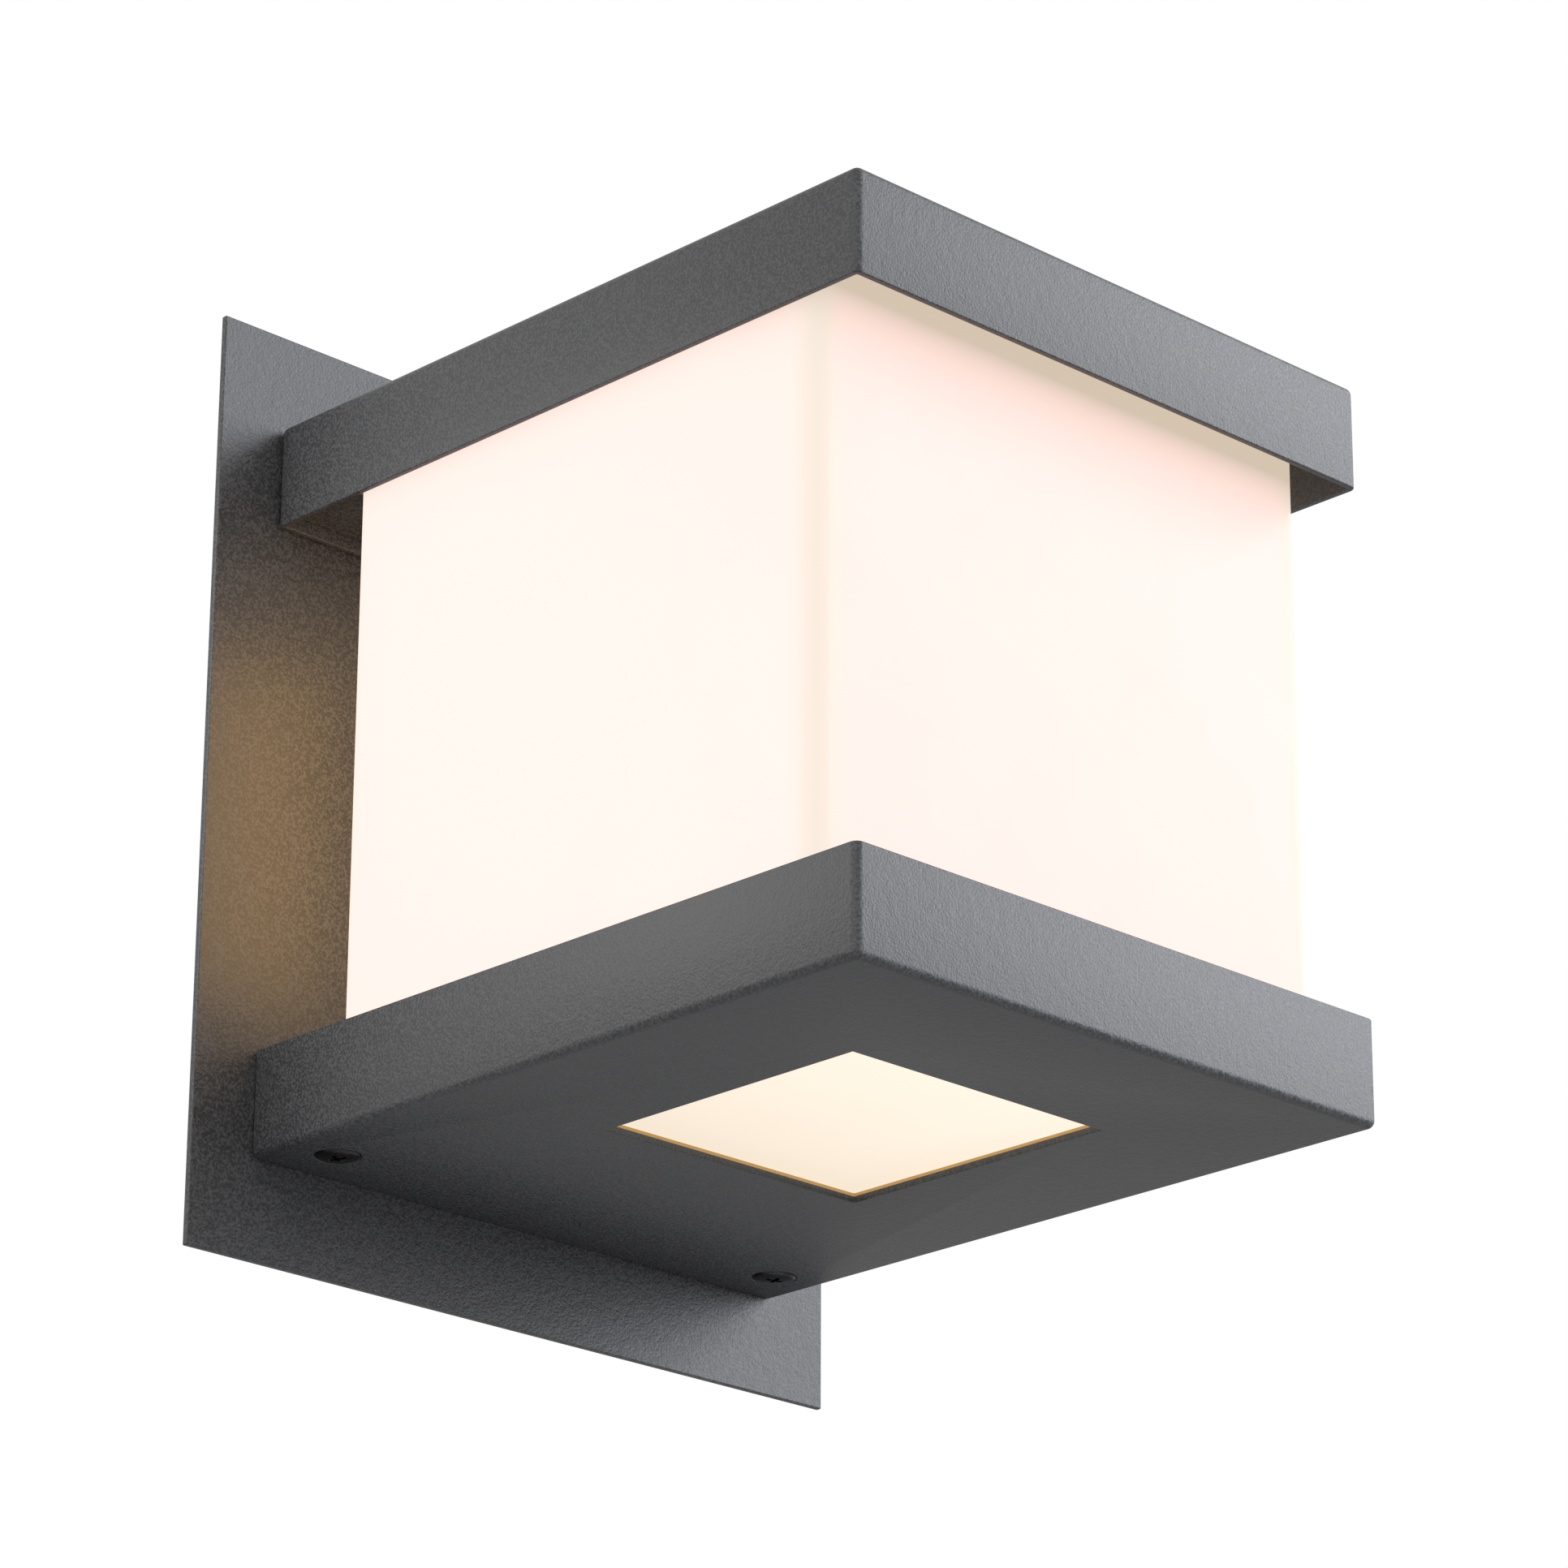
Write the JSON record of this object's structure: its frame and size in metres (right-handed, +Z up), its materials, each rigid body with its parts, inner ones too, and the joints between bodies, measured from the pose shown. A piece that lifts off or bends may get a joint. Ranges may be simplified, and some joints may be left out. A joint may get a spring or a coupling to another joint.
{
  "type": "outdoor wall lantern",
  "caption": "Box-shaped outdoor wall lantern: folded cap and tray on a flat wall plate, opal cube diffuser between them, square window below.",
  "frame": {"origin": "centre of the wall plate's back face, on the wall", "axes": "+Z up, +Y into the wall, +X to the right of a viewer facing the wall; the lantern stands out along -Y"},
  "size_m": [0.182, 0.1795, 0.21],
  "materials": {
    "powder_coat": "fine-textured anthracite powder coat, satin",
    "opal_acrylic": "opal white, satin gloss",
    "zinc_plate": "bright zinc plate",
    "black_zinc": "black zinc plate, glossy",
    "brass": "plain brass",
    "nickel": "nickel plate",
    "black_rubber": "matt black rubber",
    "grey_foam": "closed-cell foam",
    "clear_silicone": "translucent silicone",
    "porcelain": "glazed porcelain",
    "aluminium": "plain aluminium board",
    "white_nylon": "moulded white nylon",
    "black_glass": "black glass insulator",
    "brown_insulation": "brown wire insulation",
    "blue_insulation": "blue wire insulation",
    "green_insulation": "green and yellow wire insulation"
  },
  "bodies": {
    "lantern": {"wall_plate": "powder_coat", "top_cap": "powder_coat", "cap_stud_left": "zinc_plate", "cap_stud_right": "zinc_plate", "cap_nut_left": "zinc_plate", "cap_nut_right": "zinc_plate", "cable_grommet": "black_rubber", "earth_stud": "zinc_plate", "earth_tag": "zinc_plate", "earth_nut": "brass", "lamp_carrier": "powder_coat", "carrier_post_left": "zinc_plate", "carrier_post_right": "zinc_plate", "carrier_post_front": "zinc_plate", "carrier_screw_left": "zinc_plate", "carrier_screw_right": "zinc_plate", "carrier_screw_front": "zinc_plate", "rim_gasket": "grey_foam", "lampholder_body": "porcelain", "lampholder_shell": "brass", "lampholder_contact": "brass", "lampholder_screw_left": "zinc_plate", "lampholder_screw_right": "zinc_plate", "terminal_block": "white_nylon", "terminal_screw_live": "brass", "terminal_screw_neutral": "brass", "terminal_screw_earth": "brass", "lead_live": "brown_insulation", "lead_neutral": "blue_insulation", "lead_earth": "green_insulation", "tray_bracket_left": "zinc_plate", "tray_bracket_right": "zinc_plate", "bracket_stud_left": "zinc_plate", "bracket_stud_right": "zinc_plate", "bracket_nut_left": "zinc_plate", "bracket_nut_right": "zinc_plate", "tray_nut_left": "zinc_plate", "tray_nut_right": "zinc_plate", "tray_sleeve_left": "zinc_plate", "tray_sleeve_right": "zinc_plate"},
    "tray": {"bottom_tray": "powder_coat", "diffuser": "opal_acrylic", "window_gasket": "clear_silicone", "diffuser_stop_front": "zinc_plate", "diffuser_stop_rear": "zinc_plate"},
    "screw_ring_left": {"screw_ring_left": "white_nylon"},
    "tray_screw_left": {"tray_screw_left": "black_zinc"},
    "screw_ring_right": {"screw_ring_right": "white_nylon"},
    "tray_screw_right": {"tray_screw_right": "black_zinc"},
    "bulb_contact": {"bulb_contact": "zinc_plate"},
    "bulb": {"bulb_cap": "nickel", "bulb_insulator": "black_glass", "bulb_housing": "white_nylon", "led_board": "aluminium", "bulb_dome": "opal_acrylic"}
  },
  "joints": [
    {"name": "tray_drop", "type": "slide", "parent": "lantern", "child": "tray", "axis": [0, 0, -1], "range_m": [0, 0.13]},
    {"name": "screw_left_travel", "type": "slide", "parent": "tray", "child": "screw_ring_left", "axis": [0, 0, -1], "range_m": [0, 0.0048]},
    {"name": "screw_left_turn", "type": "hinge", "parent": "screw_ring_left", "child": "tray_screw_left", "pos_m": [-0.063, -0.015, -0.083], "axis": [0, 0, -1], "range_deg": [0, 2160]},
    {"name": "screw_right_travel", "type": "slide", "parent": "tray", "child": "screw_ring_right", "axis": [0, 0, -1], "range_m": [0, 0.0048]},
    {"name": "screw_right_turn", "type": "hinge", "parent": "screw_ring_right", "child": "tray_screw_right", "pos_m": [0.063, -0.015, -0.083], "axis": [0, 0, -1], "range_deg": [0, 2160]},
    {"name": "bulb_travel", "type": "slide", "parent": "lantern", "child": "bulb_contact", "axis": [0, 0, -1], "range_m": [0, 0.0145]},
    {"name": "bulb_turn", "type": "hinge", "parent": "bulb_contact", "child": "bulb", "pos_m": [0, -0.095, 0.0657], "axis": [0, 0, -1], "range_deg": [0, 1440]}
  ],
  "couplings": [
    {"joint": "screw_left_turn", "follows": "screw_left_travel", "rad_per_m": 7854},
    {"joint": "screw_right_turn", "follows": "screw_right_travel", "rad_per_m": 7854},
    {"joint": "bulb_turn", "follows": "bulb_travel", "rad_per_m": 1731.4}
  ]
}
